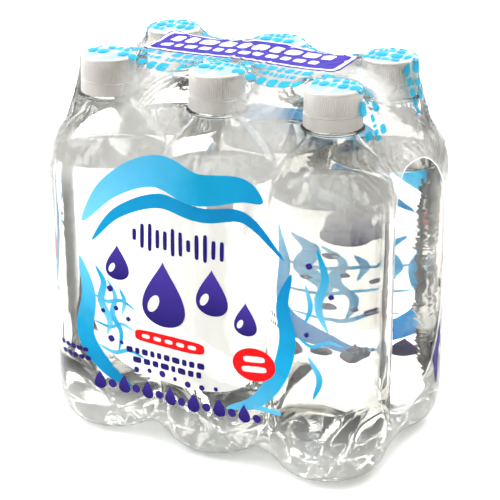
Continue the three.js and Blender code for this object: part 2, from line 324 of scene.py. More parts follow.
def letLampsThrough(tree, shader, shade):
    # lamps shine through, as they do through a real clear wall, so what stands behind is lit
    shadowRay = addNode(tree, "ShaderNodeLightPath").outputs["Is Shadow Ray"]
    clear = addNode(tree, "ShaderNodeBsdfTransparent", {"Color": toLinear(shade)})
    surface = addNode(tree, "ShaderNodeMixShader", {
        0: shadowRay, 1: shader.outputs["BSDF"], 2: clear.outputs["BSDF"]})
    addNode(tree, "ShaderNodeOutputMaterial", {"Surface": surface.outputs["Shader"]})


def petMaterial(name, bending, light, deep):
    # Stretch-blown PET: clear and glossy, with faint waves left by blowing
    material, tree = newMaterial(name)
    bump = addNode(tree, "ShaderNodeBump", {
        "Height": grainOf(tree, 16, (1, 1, 0.4)), "Distance": 0.25 * millimetre, "Strength": 1.0})
    pet = addNode(tree, "ShaderNodeBsdfPrincipled", {
        "Base Color": mottled(tree, 40, light, deep), "Roughness": 0.02, "IOR": bending,
        "Transmission Weight": 1.0, "Normal": bump.outputs["Normal"]})
    letLampsThrough(tree, pet, "#F7F8F8")
    return material


# the wall in air, the wall's outside where drink fills it, and its wetted inside
petLooks = [petMaterial("blown_pet", 1.45, "#FDFDFB", "#F9F9F6"),
            petMaterial("blown_pet_filled", 1.36, "#F8F6F2", "#F1F0EB"),
            petMaterial("blown_pet_wetted", 1.0, "#FFFFFF", "#FEFEFE")]
for place in places:
    buildBottle(place, petLooks)
print("bottles blown")

# Drink, which reaches into the bottle's wall so that no air gap shows
drink = {
    "steps": 96,
    "depth": 0.3,
    "level": drinkTop - standing,
    "meniscus": 1.2,
    # the meniscus, in from the wall and up, in shares of its height
    "rim": [(0.25, 1.0), (0.45, 0.62), (0.8, 0.3), (1.4, 0.1), (2.4, 0), (6, 0)],
    "rimRoom": 0.4,  # between the last of the side and the rim's top
    "topDepth": 0.1,  # the surface's faces lie no deeper than this
    "topSlope": 0.2,  # and face up at least this much
}


def buildDrink(place, materials):
    level, rise = drink["level"], drink["meniscus"]
    limit = level + rise - drink["rimRoom"]
    side = [point for point in inset(shoulderLine, drink["depth"]) if point.y < limit]
    surface = [(side[-1].x - rise * away, level + rise * up) for away, up in drink["rim"]]
    sides = [(*point, sideTag) for point in side + surface + [(0, level)]]
    shape, tag = spinOutline(baseLine(drink["depth"]) + sides, drink["steps"])
    bendBase(shape, tag, drink["depth"])
    shape.normal_update()
    for face in shape.faces:
        high = face.calc_center_median().z > level - drink["topDepth"]
        face.material_index = 0 if high and face.normal.z > drink["topSlope"] else 1
    standUp(shape, place)
    piece = finishPiece("drink_" + place + "_poured", shape, *materials)
    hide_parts("drink_" + place)


def waterMaterial(name, bending):
    # Still-looking carbonated water: colourless, with the faintest cool tint
    material, tree = newMaterial(name)
    water = addNode(tree, "ShaderNodeBsdfPrincipled", {
        "Base Color": mottled(tree, 60, "#FFFFFF", "#FCFEFF"), "Roughness": 0.0, "IOR": bending,
        "Transmission Weight": 1.0})
    letLampsThrough(tree, water, "#FDFEFE")
    return material


# the water's surface, and its sides where it wets the wall
waterLooks = [waterMaterial("soda_water", 1.333), waterMaterial("soda_water_at_wall", 1.0)]
for place in places:
    buildDrink(place, waterLooks)
print("drink poured")

# Caps
cap = {
    "low": 191.6,
    "bandHigh": 198.5,
    "bandRadius": 15.35,
    "bevel": 0.35,  # at the foot of the band and of the wall
    "lip": 0.3,  # of the band's upper edge
    "draft": 0.05,  # how far the sides lean in
    "grooveDepth": 0.3,
    "grooveSlopes": (0.15, 0.2),
    "grooveHigh": 199.3,
    "high": capTop - standing,
    "radius": 14.9,
    "edge": 1.1,
    "edgeStep": 15,  # degrees
    "topWall": 1.3,
    "sideWall": 1.5,
    "ribs": 90,  # coarser than the real 120, so that they show
    "ribDepth": 0.35,
    "ribEnds": (0.6, 0.7),  # over the groove and under the top edge
    "sharpAngle": 12,  # degrees, so that the ribs stay crisp
    "disc": 12.4,
    "discSteps": 64,
    "stripeHalfWidth": 1.7,
    "inkLift": 0.06,
    "turn": {"front_left": -12, "front_middle": 9, "front_right": 4,
             "back_left": 20, "back_middle": -30, "back_right": 12},
}
ribTag = 1


def capOutline():
    low, bandHigh, groove, high = (cap[key] for key in ("low", "bandHigh", "grooveHigh", "high"))
    band, radius, edge, bevel = (cap[key] for key in ("bandRadius", "radius", "edge", "bevel"))
    inside, under = radius - cap["sideWall"], high - cap["topWall"]
    deep = radius - cap["grooveDepth"]
    side = [(0, under), (inside, under), (inside, low), (band - bevel, low), (band, low + bevel),
            (band - cap["draft"], bandHigh - cap["lip"]), (band - cap["lip"], bandHigh),
            (deep, bandHigh + cap["grooveSlopes"][0]), (deep, groove - cap["grooveSlopes"][1]),
            (radius - cap["draft"], groove), (radius, groove + bevel)]
    ribs = [(radius, groove + cap["ribEnds"][0]), (radius, high - edge - cap["ribEnds"][1])]
    turns = [math.radians(turn) for turn in range(0, 91, cap["edgeStep"])]
    corner = [(radius - edge + edge * math.cos(turn), high - edge + edge * math.sin(turn))
              for turn in turns]
    parts = ((side, sideTag), (ribs, ribTag), (corner + [(0, high)], sideTag))
    return [(*point, tag) for points, tag in parts for point in points]


def buildCap(place, plastic, tint, stripe):
    shape, tag = spinOutline(capOutline(), cap["ribs"] * 2)
    step = math.tau / (cap["ribs"] * 2)
    for vert in shape.verts:
        if vert[tag] == ribTag and round(math.atan2(vert.co.y, vert.co.x) / step) % 2:
            share = 1 - cap["ribDepth"] / math.hypot(vert.co.x, vert.co.y)
            vert.co.x *= share
            vert.co.y *= share
    bmesh.ops.translate(shape, verts=shape.verts, vec=(*axes[place], standing))
    piece = finishPiece("cap_" + place + "_moulded", shape, plastic)
    piece.data.set_sharp_from_angle(angle=math.radians(cap["sharpAngle"]))
    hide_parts("cap_" + place)
    # the tint printed on the top, with a plain white stripe across it
    for i, (name, ink) in enumerate((("tint", tint), ("stripe", stripe)), 1):
        patch = bmesh.new()
        bmesh.ops.create_circle(patch, cap_ends=True, radius=cap["disc"], segments=cap["discSteps"])
        if name == "stripe":
            for side in (-1, 1):
                bmesh.ops.bisect_plane(
                    patch, geom=patch.verts[:] + patch.edges[:] + patch.faces[:], clear_outer=True,
                    plane_co=(side * cap["stripeHalfWidth"], 0, 0), plane_no=(side, 0, 0))
        turn = Matrix.Rotation(math.radians(cap["turn"][place]), 3, "Z")
        bmesh.ops.rotate(patch, verts=patch.verts, cent=(0, 0, 0), matrix=turn)
        lift = standing + cap["high"] + i * cap["inkLift"]
        bmesh.ops.translate(patch, verts=patch.verts, vec=(*axes[place], lift))
        finishPiece("cap_" + place + "_" + name, patch, ink)


def capMaterial():
    # Injection-moulded polyethylene: satin, warm white and a little translucent
    material, tree = newMaterial("moulded_polyethylene")
    bump = addNode(tree, "ShaderNodeBump", {
        "Height": grainOf(tree, 0.6), "Distance": 0.01 * millimetre, "Strength": 0.5})
    plastic = addNode(tree, "ShaderNodeBsdfPrincipled", {
        "Base Color": mottled(tree, 9, "#F5F3EF", "#F1EFEA"), "Roughness": 0.4, "IOR": 1.5,
        "Subsurface Weight": 0.15, "Subsurface Radius": (0.0012, 0.001, 0.0008),
        "Normal": bump.outputs["Normal"]})
    addNode(tree, "ShaderNodeOutputMaterial", {"Surface": plastic.outputs["BSDF"]})
    return material


def inkMaterial(name, colours, clear, scatter, spread=1.0):
    # Gravure or pad printing ink: a flat, even coat that thins a little here and there. A share
    # of the light goes clear through as through a filter, and another share scatters through.
    # Its colour runs along the shade that each print's points carry.
    material, tree = newMaterial(name)
    shade = addNode(tree, "ShaderNodeAttribute", attribute_name="shade").outputs["Fac"]
    mottle = addNode(tree, "ShaderNodeMath", {0: grainOf(tree, 5, detail=3), 1: 0.08},
                     operation="MULTIPLY").outputs["Value"]
    mixed = addNode(tree, "ShaderNodeMath", {0: shade, 1: mottle}, operation="ADD").outputs["Value"]
    stops = [(spread * i / (len(colours) - 1), colour) for i, colour in enumerate(colours)]
    colour = addNode(tree, "ShaderNodeValToRGB", {"Fac": mixed}, stops=stops).outputs["Color"]
    coat = addNode(tree, "ShaderNodeBsdfPrincipled", {
        "Base Color": colour, "Roughness": 0.45, "IOR": 1.22})
    lit = addNode(tree, "ShaderNodeBsdfTranslucent", {"Color": colour})
    passed = addNode(tree, "ShaderNodeBsdfTransparent", {"Color": colour})
    body = addNode(tree, "ShaderNodeMixShader", {
        0: scatter, 1: coat.outputs["BSDF"], 2: lit.outputs["BSDF"]})
    ink = addNode(tree, "ShaderNodeMixShader", {
        0: clear, 1: body.outputs["Shader"], 2: passed.outputs["BSDF"]})
    addNode(tree, "ShaderNodeOutputMaterial", {"Surface": ink.outputs["Shader"]})
    return material


capPlastic = capMaterial()
capInks = [inkMaterial("pad_printed_light_blue", ["#A2C8E6", "#9AC2E2"], 0.0, 0.0, 0.1),
           inkMaterial("pad_printed_white", ["#FDFDFB", "#F4F5F3"], 0.0, 0.0, 0.1)]
for place in places:
    buildCap(place, capPlastic, *capInks)
print("caps moulded")

# Film. A net of points runs from one end opening to the other and round the pack. Each
# point slides on a ray out of a flat core, and the net is drawn tight until it touches.
film = {
    "gap": 0.55,  # from the bottles
    "lowest": 0.25,
    "start": 1.5,  # how far off the net starts
    "openingHalfWidth": 36,
    "openingLow": 38,
    "openingHigh": 168,
    "openingPower": 2.8,
    "rimGap": 0.8,
    "bead": [(0.2, 0.3), (0.4, 0.05), (0.2, -0.3), (-0.2, -0.3)],  # outwards and inwards
    "capSpread": [-17.6, -15.2, -4.1, 4.1, 15.2, 17.6],
    "capSpreadEnd": 30,
    "sideLevels": [4, 14, 32, 90, 146, 162, 178, 195],
    "topLines": [63.5, 56.5],
    "underLines": [58.4, 24],
    "endLine": 9,
    "endShares": [0, 0.5],
    "rounds": {1: 400, 2: 120, 4: 80, 8: 70},  # for each fineness of the net
    "nearing": 60,  # steps in which each ray's end comes down to the bottles
    "nearest": 1,  # a ray's end to the core
    "contact": 0.02,  # more than the gap, at each ray's end
    "slide": 0.9,  # share of a pull that a point follows
    "longest": 4,  # slide in one round
    "leastFacing": 0.35,  # a ray that grazes the film more than this is taken as this
    "footStart": 20,  # the point of the foot's line from which the film can touch it
}
bodyRadius = bottle["shoulder"][0][0]
coreHeight = capTop / 2
halfLength = coreLength + bodyRadius + film["start"]
halfDepth = coreDepth + bodyRadius + film["start"]
bottleAxes = np.array([axes[place] for place in places])
wrapped = [(0, 0), *[tuple(p) for p in footLine[film["footStart"]:] + shoulderLine],
           *bottle["ring"][:-1], (cap["bandRadius"], cap["low"]),
           (cap["bandRadius"], cap["bandHigh"]), (cap["radius"], cap["high"] - cap["edge"]),
           (cap["radius"] - cap["edge"], cap["high"]), (0, cap["high"])]


def distanceMap(outline, step=0.5, reach=45.0, low=-8.0, high=232.0):
    # signed distances to the outline, over radius and height
    radii = np.arange(0, reach, step)
    heights = np.arange(low, high, step)
    radius, height = np.meshgrid(radii, heights, indexing="ij")
    nearest = np.full(radius.shape, np.inf)
    crossings = np.zeros(radius.shape, int)
    for (r0, z0), (r1, z1) in zip(outline, outline[1:]):
        alongR, alongZ = r1 - r0, z1 - z0
        length = max(alongR ** 2 + alongZ ** 2, tiny)
        share = np.clip(((radius - r0) * alongR + (height - z0) * alongZ) / length, 0, 1)
        nearest = np.minimum(nearest, np.hypot(radius - r0 - share * alongR,
                                               height - z0 - share * alongZ))
        if z0 != z1:
            between = (z0 <= height) != (z1 <= height)
            crossings += between & (radius < r0 + (height - z0) * alongR / alongZ)
    signed = np.where(crossings % 2 == 1, -nearest, nearest)

    def lookUp(atRadius, atHeight):
        over = np.maximum(atRadius - (reach - 2 * step), 0)
        x = np.clip(atRadius / step, 0, len(radii) - 2)
        y = np.clip((atHeight - low) / step, 0, len(heights) - 2)
        i, j = x.astype(int), y.astype(int)
        s, t = x - i, y - j
        near = signed[i, j] * (1 - s) * (1 - t) + signed[i + 1, j] * s * (1 - t)
        return near + signed[i, j + 1] * (1 - s) * t + signed[i + 1, j + 1] * s * t + over

    return lookUp


outOfBottle = distanceMap(wrapped)


def clearanceOf(points):
    nearest = np.full(points.shape[:-1], np.inf)
    for x, y in bottleAxes:
        radius = np.hypot(points[..., 0] - x, points[..., 1] - y)
        nearest = np.minimum(nearest, outOfBottle(radius, points[..., 2] - standing))
    return nearest


def refine(values, fineness, closed):
    # more values between each two, evenly
    values = np.asarray(values, float)
    if closed:
        values = np.concatenate([values, values[:1]])
    at = np.linspace(0, len(values) - 1, (len(values) - 1) * fineness + 1)
    i = np.minimum(at.astype(int), len(values) - 2)
    share = (at - i).reshape(-1, *[1] * (values.ndim - 1))
    fine = values[i] * (1 - share) + values[i + 1] * share
    return fine[:-1] if closed else fine


def roundPlaces():
    # the net's lines round the pack: up the front, over the top, down the back and beneath
    spread = [coreDepth - offset for offset in film["capSpread"]]
    half = [(-halfDepth, level) for level in film["sideLevels"] + [capTop]]
    half += [(-place, capTop) for place in film["topLines"] + spread]
    under = [(place, film["lowest"]) for place in film["underLines"]]
    other = [(-y, z) for y, z in reversed(half)]
    return half + [(0, capTop)] + other + under + [(-y, z) for y, z in reversed(under)]


def crossPlaces():
    # the net's places along the pack, closer at each cap
    found = [-halfLength, -halfLength + film["endLine"]]
    for middle in (-coreLength, 0, coreLength):
        found += [middle + offset for offset in film["capSpread"]]
        if middle < coreLength:
            found.append(middle + coreLength / 2)
    return found + [halfLength - film["endLine"], halfLength]


def endReach(z):
    # how far out the end bottles reach at a height
    line = np.array([(bodyRadius, 0)] + [tuple(p) for p in shoulderLine])
    return coreLength + np.interp(z - standing, line[:, 1], line[:, 0])


def bend(net):
    # the net's square lines turn round about each cap and about the corner bottles
    onTop = np.abs(net[..., 2] - capTop) < tiny
    for x, y in bottleAxes:
        offX, offY = net[..., 0] - x, net[..., 1] - y
        square = np.maximum(np.abs(offX), np.abs(offY))
        outside = (offX * x > 0) & (offY * y > 0)
        nearCap = np.where(onTop, 1 - smoothstep(film["capSpread"][-1], film["capSpreadEnd"], square), 0)
        share = np.where(outside, 1, nearCap)
        factor = 1 + share * (square / np.maximum(np.hypot(offX, offY), tiny) - 1)
        net[..., 0] = x + offX * factor
        net[..., 1] = y + offY * factor
    return net


def startNet(fineness):
    # a loose net: the two ends with their openings, and straight lines between them
    loop = refine(roundPlaces(), fineness, True)
    shares = np.array(film["endShares"] + [1])
    ends = refine(shares, fineness, False)[:-1]
    across = refine(crossPlaces(), fineness, False)
    y, z = loop[:, :1], loop[:, 1:]
    middle = (film["openingHigh"] + film["openingLow"]) / 2
    halfHeight = (film["openingHigh"] - film["openingLow"]) / 2
    power = film["openingPower"]
    reach = ((np.abs(y) / film["openingHalfWidth"]) ** power
             + (np.abs(z - middle) / halfHeight) ** power) ** (-1 / power)
    rimY, rimZ = y * reach, middle + (z - middle) * reach
    rimX = endReach(rimZ) + film["rimGap"]
    right = np.stack([rimX + (halfLength - rimX) * ends, rimY + (y - rimY) * ends,
                      rimZ + (z - rimZ) * ends], -1)
    left = right * (-1, 1, 1)
    body = np.stack(np.broadcast_arrays(across[None, :], y, z), -1)
    return bend(np.concatenate([left, body, right[:, ::-1]], 1))


def raysOf(net):
    # each point's ray: its start, its way, how far out the point is and how near it may come
    core = np.stack([np.clip(net[..., 0], -coreLength, coreLength),
                     np.clip(net[..., 1], -coreDepth, coreDepth),
                     np.full(net.shape[:2], coreHeight)], -1)
    way = net - core
    reach = np.linalg.norm(way, axis=-1)
    way /= reach[..., None]
    least = reach + film["start"]
    for _ in range(film["nearing"]):
        free = clearanceOf(core + way * least[..., None]) - film["gap"]
        least = np.maximum(least - np.maximum(free, 0), film["nearest"])
    return core, way, reach, least + film["contact"]


def drawTight(net, core, way, reach, least, rounds, fineness):
    # each point slides on its ray towards its neighbours, until the film touches a bottle
    weights = []
    shifts = [(1, 0), (-1, 0), (1, 1), (-1, 1)]
    for shift, axis in shifts:
        weights.append(1 / np.maximum(np.linalg.norm(np.roll(net, shift, axis) - net, axis=-1),
                                      1 / fineness))
    total = sum(weights)
    inside = np.zeros(net.shape[:2], bool)
    inside[:, 1:-1] = True
    points = core + way * reach[..., None]
    for _ in range(rounds):
        near = [np.roll(points, shift, axis) for shift, axis in shifts]
        pull = sum(n * w[..., None] for n, w in zip(near, weights)) / total[..., None] - points
        normal = np.cross(near[3] - near[2], near[1] - near[0])
        normal /= np.maximum(np.linalg.norm(normal, axis=-1, keepdims=True), tiny)
        facing = np.sum(normal * way, -1)
        normal *= np.sign(facing)[..., None]
        step = np.sum(pull * normal, -1) / np.maximum(np.abs(facing), film["leastFacing"])
        slide = film["slide"] * np.clip(step, -film["longest"], film["longest"])
        reach = np.where(inside, np.maximum(reach + slide, least), reach)
        points = core + way * reach[..., None]
        points[..., 2] = np.maximum(points[..., 2], film["lowest"])
    return points, reach


def tightNet():
    # drawn coarse first, and then twice as fine each time
    reach = None
    for fineness, rounds in film["rounds"].items():
        net = startNet(fineness)
        core, way, startReach, least = raysOf(net)
        if reach is None:
            reach = np.maximum(startReach, least)
        else:
            reach = refine(refine(reach, 2, True).T, 2, False).T
            reach = np.maximum(reach, least)
            reach[:, [0, -1]] = startReach[:, [0, -1]]
        points, reach = drawTight(net, core, way, reach, least, rounds, fineness)
    return points


def normalsOf(points):
    along = np.roll(points, -1, 0) - np.roll(points, 1, 0)
    across = np.empty_like(points)
    across[:, 1:-1] = points[:, 2:] - points[:, :-2]
    across[:, 0] = points[:, 1] - points[:, 0]
    across[:, -1] = points[:, -1] - points[:, -2]
    normal = np.cross(across, along)
    normal /= np.maximum(np.linalg.norm(normal, axis=-1, keepdims=True), tiny)
    middle = points[:, points.shape[1] // 2].mean(0)
    outward = np.sum(normal * (points - middle), -1).mean()
    return normal * np.sign(outward)


net = tightNet()
print("film drawn tight")

# Wrinkles, all outwards so that the film stays clear of the bottles. Lengths are millimetres,
# and of a pair the first is where an effect starts and the second where it is full or gone.
wrinkle = {
    "loose": (0.15, 2.5),  # off the bottles
    "rim": 0.3,  # share of the wrinkles that is left at the end openings
    "waver": (30, 3.7),  # size of the noise that sways folds, and its seed
    "sharp": 5,
    "crinkle": {"high": 0.14, "mean": 0.5, "size": 9.0, "tight": 0.35},
    "pleats": {"high": 1.0, "count": 11, "waver": 5, "start": (14, 19), "end": (24, 46),
               "up": (150, 185)},
    "corners": {"high": 0.8, "count": 28, "waver": 4, "place": (30, 140), "start": (6, 18),
                "end": (34, 62), "out": (72, 88), "up": (130, 150)},
    "sides": {"high": 0.45, "size": 7.0, "seed": 9.1, "stretch": 0.12, "contrast": 6, "sharp": 2,
              "start": (110, 135), "end": (165, 190), "out": (52, 60)},
    "veil": {"all": 0.02, "top": 0.62, "away": (18, 31), "up": (138, 160), "foot": 0.5,
             "footUp": (14, 44)},
    "creases": {"all": 0.12, "end": 0.75, "out": (60, 84), "other": 0.5, "up": (140, 165),
                "footUp": (14, 40), "patches": (26, 5.3), "patchy": (0.6, 0.8)},
}


def ridge(values, sharpness):
    return (1 - np.abs(values)) ** sharpness


def noiseAt(points, size, seed=0.0):
    found = [noise.noise(Vector((x / size + seed, y / size - seed, z / size)))
             for x, y, z in points.reshape(-1, 3).tolist()]
    return np.array(found).reshape(points.shape[:-1])


def wrinkleHeights(points):
    x, y, z = points[..., 0], points[..., 1], points[..., 2]
    loose = smoothstep(*wrinkle["loose"], clearanceOf(points) - film["gap"])
    waver = noiseAt(points, *wrinkle["waver"])
    crinkle, pleats = wrinkle["crinkle"], wrinkle["pleats"]
    share = crinkle["tight"] + (1 - crinkle["tight"]) * loose
    heights = crinkle["high"] * (crinkle["mean"] + noiseAt(points, crinkle["size"])) * share
    # pleats that fan out from each cap
    for middleX, middleY in bottleAxes:
        offX, offY = x - middleX, y - middleY
        angle = np.arctan2(offY, offX)
        fan = np.sin(angle * pleats["count"] + pleats["waver"] * waver + middleX + middleY)
        near = within(np.hypot(offX, offY), pleats["start"], pleats["end"])
        near = near * smoothstep(*pleats["up"], z)
        heights = heights + pleats["high"] * loose * near * ridge(fan, wrinkle["sharp"])
    # folds that run from the upper corners of each end opening, up and across the shoulder
    corners, sides = wrinkle["corners"], wrinkle["sides"]
    for side in (-1, 1):
        for end in (-1, 1):
            offY, offZ = y * side - corners["place"][0], z - corners["place"][1]
            angle = np.arctan2(offZ, offY)
            fan = np.sin(angle * corners["count"] + corners["waver"] * waver + side + 2 * end)
            near = within(np.hypot(offY, offZ), corners["start"], corners["end"])
            near = near * smoothstep(*corners["out"], x * end) * smoothstep(*corners["up"], z)
            heights = heights + corners["high"] * near * ridge(fan, wrinkle["sharp"])
    # upright folds on the front and back of the end bottles
    fold = noiseAt(np.stack([x, y, z * sides["stretch"]], -1), sides["size"], sides["seed"])
    fold = np.clip(np.abs(fold) * sides["contrast"], 0, 1)
    tall = within(z, sides["start"], sides["end"]) * smoothstep(*sides["out"], np.abs(x))
    heights = heights + sides["high"] * tall * ridge(fold, sides["sharp"])
    return np.maximum(heights, 0)


def veilOf(points):
    # the film is milkier where it has shrunk most, off the bottles at the top and at the feet
    veil = wrinkle["veil"]
    away = np.full(points.shape[:-1], np.inf)
    for x, y in bottleAxes:
        away = np.minimum(away, np.hypot(points[..., 0] - x, points[..., 1] - y))
    z = points[..., 2]
    top = smoothstep(*veil["away"], away) * smoothstep(*veil["up"], z)
    foot = 1 - smoothstep(*veil["footUp"], z)
    return veil["all"] + veil["top"] * top + veil["foot"] * foot


def creaseOf(points):
    # fine creases near the ends, at the shoulders and at the feet
    creases = wrinkle["creases"]
    x, z = np.abs(points[..., 0]), points[..., 2]
    least, more = creases["patchy"]
    patchy = least + more * noiseAt(points, *creases["patches"])
    end = creases["end"] * smoothstep(*creases["out"], x)
    lows = 1 - smoothstep(*creases["footUp"], z)
    other = creases["other"] * np.maximum(smoothstep(*creases["up"], z), lows)
    return np.clip((creases["all"] + np.maximum(end, other)) * patchy, 0, 1)


def filmShape():
    rounds, across = net.shape[:2]
    veil, crease = veilOf(net), creaseOf(net)
    heights = wrinkleHeights(net)
    heights[:, [0, -1]] *= wrinkle["rim"]
    drawn = net + normalsOf(net) * heights[..., None]
    drawn[..., 2] = np.maximum(drawn[..., 2], film["lowest"])
    shape = bmesh.new()
    veilKey = shape.verts.layers.float.new("veil")
    creaseKey = shape.verts.layers.float.new("crease")
    bmesh.ops.create_grid(shape, x_segments=across - 1, y_segments=rounds, size=1.0)
    for vert in shape.verts:
        j = round((vert.co.x + 1) / 2 * (across - 1))
        i = round((vert.co.y + 1) / 2 * rounds) % rounds
        vert.co = drawn[i, j]
        vert[veilKey], vert[creaseKey] = veil[i, j], crease[i, j]
    bmesh.ops.remove_doubles(shape, verts=shape.verts, dist=0.0005)
    shape.normal_update()
    middle = Vector((0, 0, coreHeight))
    facing = sum((face.calc_center_median() - middle).dot(face.normal) for face in shape.faces)
    if facing < 0:
        bmesh.ops.reverse_faces(shape, faces=shape.faces)
    return shape


def rollEdges(shape):
    # shrinking curls the edge of each end opening into a thin bead
    shape.normal_update()
    middle = (film["openingLow"] + film["openingHigh"]) / 2
    edge = [e for e in shape.edges if e.is_boundary]
    for outward, inward in film["bead"]:
        made = bmesh.ops.extrude_edge_only(shape, edges=edge)["geom"]
        edge = [e for e in made if isinstance(e, bmesh.types.BMEdge)]
        moves = {}
        for vert in {v for e in edge for v in e.verts}:
            end = math.copysign(1, vert.co.x)
            towards = Vector((0, -vert.co.y, middle - vert.co.z))
            moves[vert] = Vector((end * outward, 0, 0)) + towards.normalized() * inward
        for vert, move in moves.items():
            vert.co += move


# The film's surface. Sizes are millimetres.
filmLook = {
    "bending": 1.4,
    "gloss": 0.1,  # roughness of its shine
    "relief": 0.35,
    "crinkle": 12,
    "crinkleLong": (1, 1, 0.6),
    "fine": 6,
    "crease": 4.2,  # real ones lie closer, and wouldn't show
    "creaseLean": (35, 40, 0),  # degrees
    "creaseLong": (1.3, 1.3, 0.4),
    "creaseTwist": 0.6,
    "creaseHigh": 0.4,
    "creaseMilk": 0.01,  # what a crease adds to the veil
    "through": 0.65,  # share of the veil's light that comes through from behind
}


def filmMaterial():
    # Shrink film: glossy and crinkled where it has shrunk unevenly, with sharp fine creases
    # and a milky veil that the points carry
    material, tree = newMaterial("shrink_film")
    look = filmLook
    veil = addNode(tree, "ShaderNodeAttribute", attribute_name="veil").outputs["Fac"]
    creased = addNode(tree, "ShaderNodeAttribute", attribute_name="crease").outputs["Fac"]
    where = addNode(tree, "ShaderNodeTexCoord").outputs["Object"]
    leaning = addNode(tree, "ShaderNodeMapping", {
        "Vector": where, "Rotation": [math.radians(turn) for turn in look["creaseLean"]],
        "Scale": look["creaseLong"]})
    sharp = addNode(tree, "ShaderNodeTexNoise", {
        "Vector": leaning.outputs["Vector"], "Scale": 1 / (look["crease"] * millimetre),
        "Detail": 3.0, "Distortion": look["creaseTwist"]},
        noise_type="RIDGED_MULTIFRACTAL").outputs["Fac"]
    creases = addNode(tree, "ShaderNodeMath", {0: sharp, 1: creased},
                      operation="MULTIPLY").outputs["Value"]
    fine = addNode(tree, "ShaderNodeMath", {
        0: creases, 1: look["creaseHigh"], 2: grainOf(tree, look["fine"])},
        operation="MULTIPLY_ADD").outputs["Value"]
    crinkle = addNode(tree, "ShaderNodeMath", {
        0: grainOf(tree, look["crinkle"], look["crinkleLong"]), 1: fine},
        operation="ADD").outputs["Value"]
    bump = addNode(tree, "ShaderNodeBump", {
        "Height": crinkle, "Distance": look["relief"] * millimetre, "Strength": 1.0}).outputs["Normal"]
    gloss = addNode(tree, "ShaderNodeBsdfGlossy", {"Roughness": look["gloss"], "Normal": bump})
    shade = mottled(tree, 25, "#FFFDFA", "#F6F4EF")
    front = addNode(tree, "ShaderNodeBsdfDiffuse", {"Color": shade, "Normal": bump})
    behind = addNode(tree, "ShaderNodeBsdfTranslucent", {"Color": shade, "Normal": bump})
    haze = addNode(tree, "ShaderNodeMixShader", {
        0: look["through"], 1: front.outputs["BSDF"], 2: behind.outputs["BSDF"]})
    clear = addNode(tree, "ShaderNodeBsdfTransparent", {"Color": (1, 1, 1, 1)})
    milky = addNode(tree, "ShaderNodeMath", {0: creases, 1: look["creaseMilk"], 2: veil},
                    operation="MULTIPLY_ADD").outputs["Value"]
    body = addNode(tree, "ShaderNodeMixShader", {
        0: milky, 1: clear.outputs["BSDF"], 2: haze.outputs["Shader"]})
    fresnel = addNode(tree, "ShaderNodeFresnel", {"IOR": look["bending"], "Normal": bump})
    surface = addNode(tree, "ShaderNodeMixShader", {
        0: fresnel.outputs["Fac"], 1: body.outputs["Shader"], 2: gloss.outputs["BSDF"]})
    addNode(tree, "ShaderNodeOutputMaterial", {"Surface": surface.outputs["Shader"]})
    return material


sheet = filmShape()
filmTree = BVHTree.FromBMesh(sheet)
rollEdges(sheet)
filmPiece = finishPiece("film_shrunk", sheet, filmMaterial())
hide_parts("film")
print("film wrinkled")

# Print. Every motif is drawn flat, in millimetres across and up, cut into small squares and
# then laid on the film, at its ink's height over it. The colours are printed under the white
# ink as well as over it, so that they show from inside too.
layer = {"under": 0.04, "white": 0.15, "colour": 0.22, "mark": 0.28, "top": 0.34}
coarser = 10  # the under coat's squares, next to those of the coat over it
# which way the rays go that find the film on each side, and from how far out
sideWays = {"front": (0, 1), "back": (0, -1), "right": (-1, 0), "left": (1, 0)}
rayStart = 150
# the top's rays go straight down in its middle and fan out over its rounded ends
topFan = {"half": 62.0, "height": 152.0, "radius": 57.0, "start": 110}


def newPrint():
    flat = bmesh.new()
    flat.verts.layers.float.new("shade")
    return flat


def addOutline(flat, centre, turn, segments, pointAt):
    # a flat face from a circle, each of whose points pointAt moves across and up and shades
    made = bmesh.ops.create_circle(flat, cap_ends=True, radius=1, segments=segments)["verts"]
    shades = flat.verts.layers.float["shade"]
    cosine, sine = math.cos(math.radians(turn)), math.sin(math.radians(turn))
    for vert in made:
        across, up, vert[shades] = pointAt(vert.co.x, vert.co.y)
        vert.co = (centre[0] + across * cosine - up * sine, 0,
                   centre[1] + across * sine + up * cosine)


def addRound(flat, centre, half, power=2.0, turn=0.0, shade=0.0, segments=32):
    # an ellipse for a power of 2, a bar with round corners for a higher one
    def pointAt(x, y):
        angle = math.atan2(y, x)
        across, up = math.cos(angle), math.sin(angle)
        reach = (abs(across) ** power + abs(up) ** power) ** (-1 / power)
        return across * reach * half[0], up * reach * half[1], shade

    addOutline(flat, centre, turn, segments, pointAt)


def addDrop(flat, centre, half, lastShade, belly=1.3, taper=1.5, segments=40):
    # a drop with its point up, whose shade rises from its foot to its point
    def pointAt(x, y):
        angle = math.atan2(x, y)
        across = half[0] * belly * math.sin(angle) * abs(math.sin(angle / 2)) ** taper
        return across, half[1] * math.cos(angle), lastShade * (math.cos(angle) + 1) / 2

    addOutline(flat, centre, 0, segments, pointAt)


def addBand(flat, line, width, shades, blunt=0.6, steps=60):
    # a band along a smooth line that thins to a point at each end
    spine = curveThrough(line, steps // (len(line) - 1))
    last = len(spine) - 1
    made = bmesh.ops.create_grid(flat, x_segments=last, y_segments=1, size=1)["verts"]
    key = flat.verts.layers.float["shade"]
    for vert in made:
        i = round((vert.co.x + 1) / 2 * last)
        along = i / last
        way = (spine[min(i + 1, last)] - spine[max(i - 1, 0)]).normalized()
        half = width / 2 * max(math.sin(math.pi * along), 0) ** blunt
        side = half if vert.co.y > 0 else -half
        vert.co = (spine[i].x - way.y * side, 0, spine[i].y + way.x * side)
        vert[key] = shades[0] + (shades[1] - shades[0]) * along
    bmesh.ops.remove_doubles(flat, verts=made, dist=0.01)


